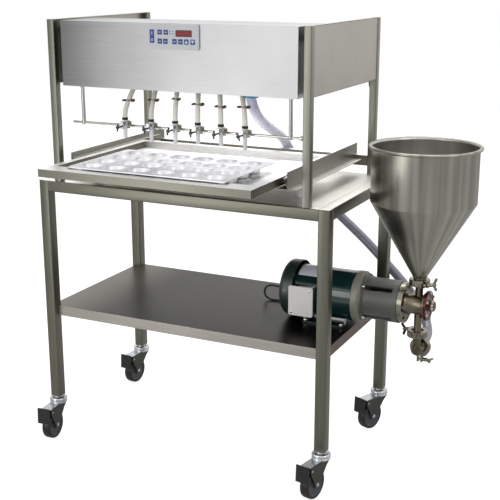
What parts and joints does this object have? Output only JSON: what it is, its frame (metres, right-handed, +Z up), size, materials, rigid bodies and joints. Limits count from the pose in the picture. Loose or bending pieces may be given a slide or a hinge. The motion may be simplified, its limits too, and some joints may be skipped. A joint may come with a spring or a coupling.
{
  "type": "bakery depositor",
  "caption": "Wheeled stainless depositor: a hopper-fed pump on a shelf sends batter through a hose to a row of nozzles over a sliding carriage with a muffin pan.",
  "frame": {"origin": "on the floor under the middle of the machine's box, measured without its hose and cable", "axes": "+X to the right along the front, towards the hopper; +Y from the front to the back; +Z up"},
  "size_m": [1.4572, 0.964, 1.479],
  "materials": {
    "brushed_steel": "brushed stainless steel with a fine grain",
    "bright_steel": "bright stainless steel",
    "chrome": "polished stainless steel",
    "cast_steel": "bead-blasted stainless casting",
    "pan_metal": "satin pan metal",
    "zinc": "bright zinc plate",
    "black_rubber": "satin black tread",
    "black_plastic": "moulded black plastic",
    "panel_plastic": "satin keypad overlay",
    "white_plastic": "moulded white plastic",
    "soft_tube": "clear soft tube",
    "clear_hose": "clear reinforced hose",
    "motor_enamel": "gloss enamel",
    "fan_enamel": "satin enamel",
    "ivory_enamel": "satin enamel",
    "grey_paint": "grey paint on cast iron"
  },
  "bodies": {
    "machine": {"table_frame": "brushed_steel", "lower_shelf": "brushed_steel", "side_frame_left": "brushed_steel", "side_frame_right": "brushed_steel", "head_housing": "brushed_steel", "control_panel": "panel_plastic", "manifold": "bright_steel", "nozzle_hanger": "bright_steel", "nozzle_1": "white_plastic", "nozzle_2": "white_plastic", "nozzle_3": "white_plastic", "nozzle_4": "white_plastic", "nozzle_5": "white_plastic", "nozzle_6": "white_plastic", "dispense_tube_1": "soft_tube", "dispense_tube_2": "soft_tube", "dispense_tube_3": "soft_tube", "dispense_tube_4": "soft_tube", "dispense_tube_5": "soft_tube", "dispense_tube_6": "soft_tube", "slide_frame": "brushed_steel", "motor": "motor_enamel", "fan_cover": "fan_enamel", "conduit_box": "ivory_enamel", "lantern": "grey_paint", "pump_body": "cast_steel", "pump_cover": "chrome", "hopper": "brushed_steel", "hopper_clamp": "chrome", "outlet_elbow": "chrome", "outlet_clamp": "chrome", "hose_barb": "chrome", "hose_clamp": "chrome", "supply_hose": "clear_hose", "motor_cable": "black_rubber"},
    "caster_front_left": {"caster_fork_front_left": "zinc"},
    "wheel_front_left": {"caster_wheel_front_left": "black_rubber"},
    "pedal_front_left": {"brake_pedal_front_left": "black_plastic"},
    "caster_front_right": {"caster_fork_front_right": "zinc"},
    "wheel_front_right": {"caster_wheel_front_right": "black_rubber"},
    "pedal_front_right": {"brake_pedal_front_right": "black_plastic"},
    "caster_rear_left": {"caster_fork_rear_left": "zinc"},
    "wheel_rear_left": {"caster_wheel_rear_left": "black_rubber"},
    "pedal_rear_left": {"brake_pedal_rear_left": "black_plastic"},
    "caster_rear_right": {"caster_fork_rear_right": "zinc"},
    "wheel_rear_right": {"caster_wheel_rear_right": "black_rubber"},
    "pedal_rear_right": {"brake_pedal_rear_right": "black_plastic"},
    "carriage": {"pan_carriage": "brushed_steel"},
    "pan": {"muffin_pan": "pan_metal"},
    "knob_1": {"nozzle_knob_1": "black_plastic"},
    "knob_2": {"nozzle_knob_2": "black_plastic"},
    "knob_3": {"nozzle_knob_3": "black_plastic"},
    "knob_4": {"nozzle_knob_4": "black_plastic"},
    "knob_5": {"nozzle_knob_5": "black_plastic"},
    "knob_6": {"nozzle_knob_6": "black_plastic"},
    "shaft": {"drive_shaft": "bright_steel"},
    "pump_cover_knob": {"cover_knob": "chrome"},
    "hopper_nut": {"hopper_wing_nut": "chrome"},
    "outlet_nut": {"outlet_wing_nut": "chrome"},
    "hose_nut": {"hose_wing_nut": "chrome"}
  },
  "joints": [
    {"name": "swivel_front_left", "type": "hinge", "parent": "machine", "child": "caster_front_left", "pos_m": [-0.69615, -0.18703, 0.15], "axis": [0, 0, 1], "continuous": true},
    {"name": "roll_front_left", "type": "hinge", "parent": "caster_front_left", "child": "wheel_front_left", "pos_m": [-0.69067, -0.23673, 0.05], "axis": [0.994, 0.1097, 0], "continuous": true},
    {"name": "brake_front_left", "type": "hinge", "parent": "caster_front_left", "child": "pedal_front_left", "pos_m": [-0.68759, -0.26456, 0.107], "axis": [0.994, 0.1097, 0], "range_deg": [0, 12]},
    {"name": "swivel_front_right", "type": "hinge", "parent": "machine", "child": "caster_front_right", "pos_m": [0.33255, -0.18703, 0.15], "axis": [0, 0, 1], "continuous": true},
    {"name": "roll_front_right", "type": "hinge", "parent": "caster_front_right", "child": "wheel_front_right", "pos_m": [0.32292, -0.2361, 0.05], "axis": [0.9813, -0.1925, 0], "continuous": true},
    {"name": "brake_front_right", "type": "hinge", "parent": "caster_front_right", "child": "pedal_front_right", "pos_m": [0.31753, -0.26357, 0.107], "axis": [0.9813, -0.1925, 0], "range_deg": [0, 12]},
    {"name": "swivel_rear_left", "type": "hinge", "parent": "machine", "child": "caster_rear_left", "pos_m": [-0.69615, 0.38447, 0.15], "axis": [0, 0, 1], "continuous": true},
    {"name": "roll_rear_left", "type": "hinge", "parent": "caster_rear_left", "child": "wheel_rear_left", "pos_m": [-0.69999, 0.33462, 0.05], "axis": [0.9971, -0.0767, 0], "continuous": true},
    {"name": "brake_rear_left", "type": "hinge", "parent": "caster_rear_left", "child": "pedal_rear_left", "pos_m": [-0.70214, 0.3067, 0.107], "axis": [0.9971, -0.0767, 0], "range_deg": [0, 12]},
    {"name": "swivel_rear_right", "type": "hinge", "parent": "machine", "child": "caster_rear_right", "pos_m": [0.33255, 0.38447, 0.15], "axis": [0, 0, 1], "continuous": true},
    {"name": "roll_rear_right", "type": "hinge", "parent": "caster_rear_right", "child": "wheel_rear_right", "pos_m": [0.3143, 0.33792, 0.05], "axis": [0.9311, -0.3649, 0], "continuous": true},
    {"name": "brake_rear_right", "type": "hinge", "parent": "caster_rear_right", "child": "pedal_rear_right", "pos_m": [0.30409, 0.31185, 0.107], "axis": [0.9311, -0.3649, 0], "range_deg": [0, 12]},
    {"name": "carriage_slide", "type": "slide", "parent": "machine", "child": "carriage", "axis": [0, 1, 0], "range_m": [-0.1, 0.13]},
    {"name": "pan_lift", "type": "slide", "parent": "carriage", "child": "pan", "axis": [0, 0, 1], "range_m": [0, 0.045]},
    {"name": "nozzle_screw_1", "type": "hinge", "parent": "machine", "child": "knob_1", "pos_m": [-0.3918, -0.19608, 1.141], "axis": [0, 1, 0], "range_deg": [-450, 0]},
    {"name": "nozzle_screw_2", "type": "hinge", "parent": "machine", "child": "knob_2", "pos_m": [-0.29283, -0.19608, 1.141], "axis": [0, 1, 0], "range_deg": [-450, 0]},
    {"name": "nozzle_screw_3", "type": "hinge", "parent": "machine", "child": "knob_3", "pos_m": [-0.2038, -0.19608, 1.141], "axis": [0, 1, 0], "range_deg": [-450, 0]},
    {"name": "nozzle_screw_4", "type": "hinge", "parent": "machine", "child": "knob_4", "pos_m": [-0.12183, -0.19608, 1.141], "axis": [0, 1, 0], "range_deg": [-450, 0]},
    {"name": "nozzle_screw_5", "type": "hinge", "parent": "machine", "child": "knob_5", "pos_m": [-0.03978, -0.19608, 1.141], "axis": [0, 1, 0], "range_deg": [-450, 0]},
    {"name": "nozzle_screw_6", "type": "hinge", "parent": "machine", "child": "knob_6", "pos_m": [0.0442, -0.19608, 1.141], "axis": [0, 1, 0], "range_deg": [-450, 0]},
    {"name": "shaft_spin", "type": "hinge", "parent": "machine", "child": "shaft", "pos_m": [0.4182, 0.09392, 0.586], "axis": [1, 0, 0], "continuous": true},
    {"name": "cover_knob_turn", "type": "hinge", "parent": "machine", "child": "pump_cover_knob", "pos_m": [0.5942, 0.09392, 0.586], "axis": [1, 0, 0], "range_deg": [0, 450]},
    {"name": "hopper_nut_turn", "type": "hinge", "parent": "machine", "child": "hopper_nut", "pos_m": [0.57876, 0.0606, 0.663], "axis": [0.766, 0.6428, 0], "range_deg": [0, 810]},
    {"name": "outlet_nut_turn", "type": "hinge", "parent": "machine", "child": "outlet_nut", "pos_m": [0.52905, 0.13159, 0.4875], "axis": [-0.866, -0.5, 0], "range_deg": [0, 810]},
    {"name": "hose_nut_turn", "type": "hinge", "parent": "machine", "child": "hose_nut", "pos_m": [0.5668, 0.13792, 0.3815], "axis": [1, 0, 0], "range_deg": [0, 810]}
  ]
}
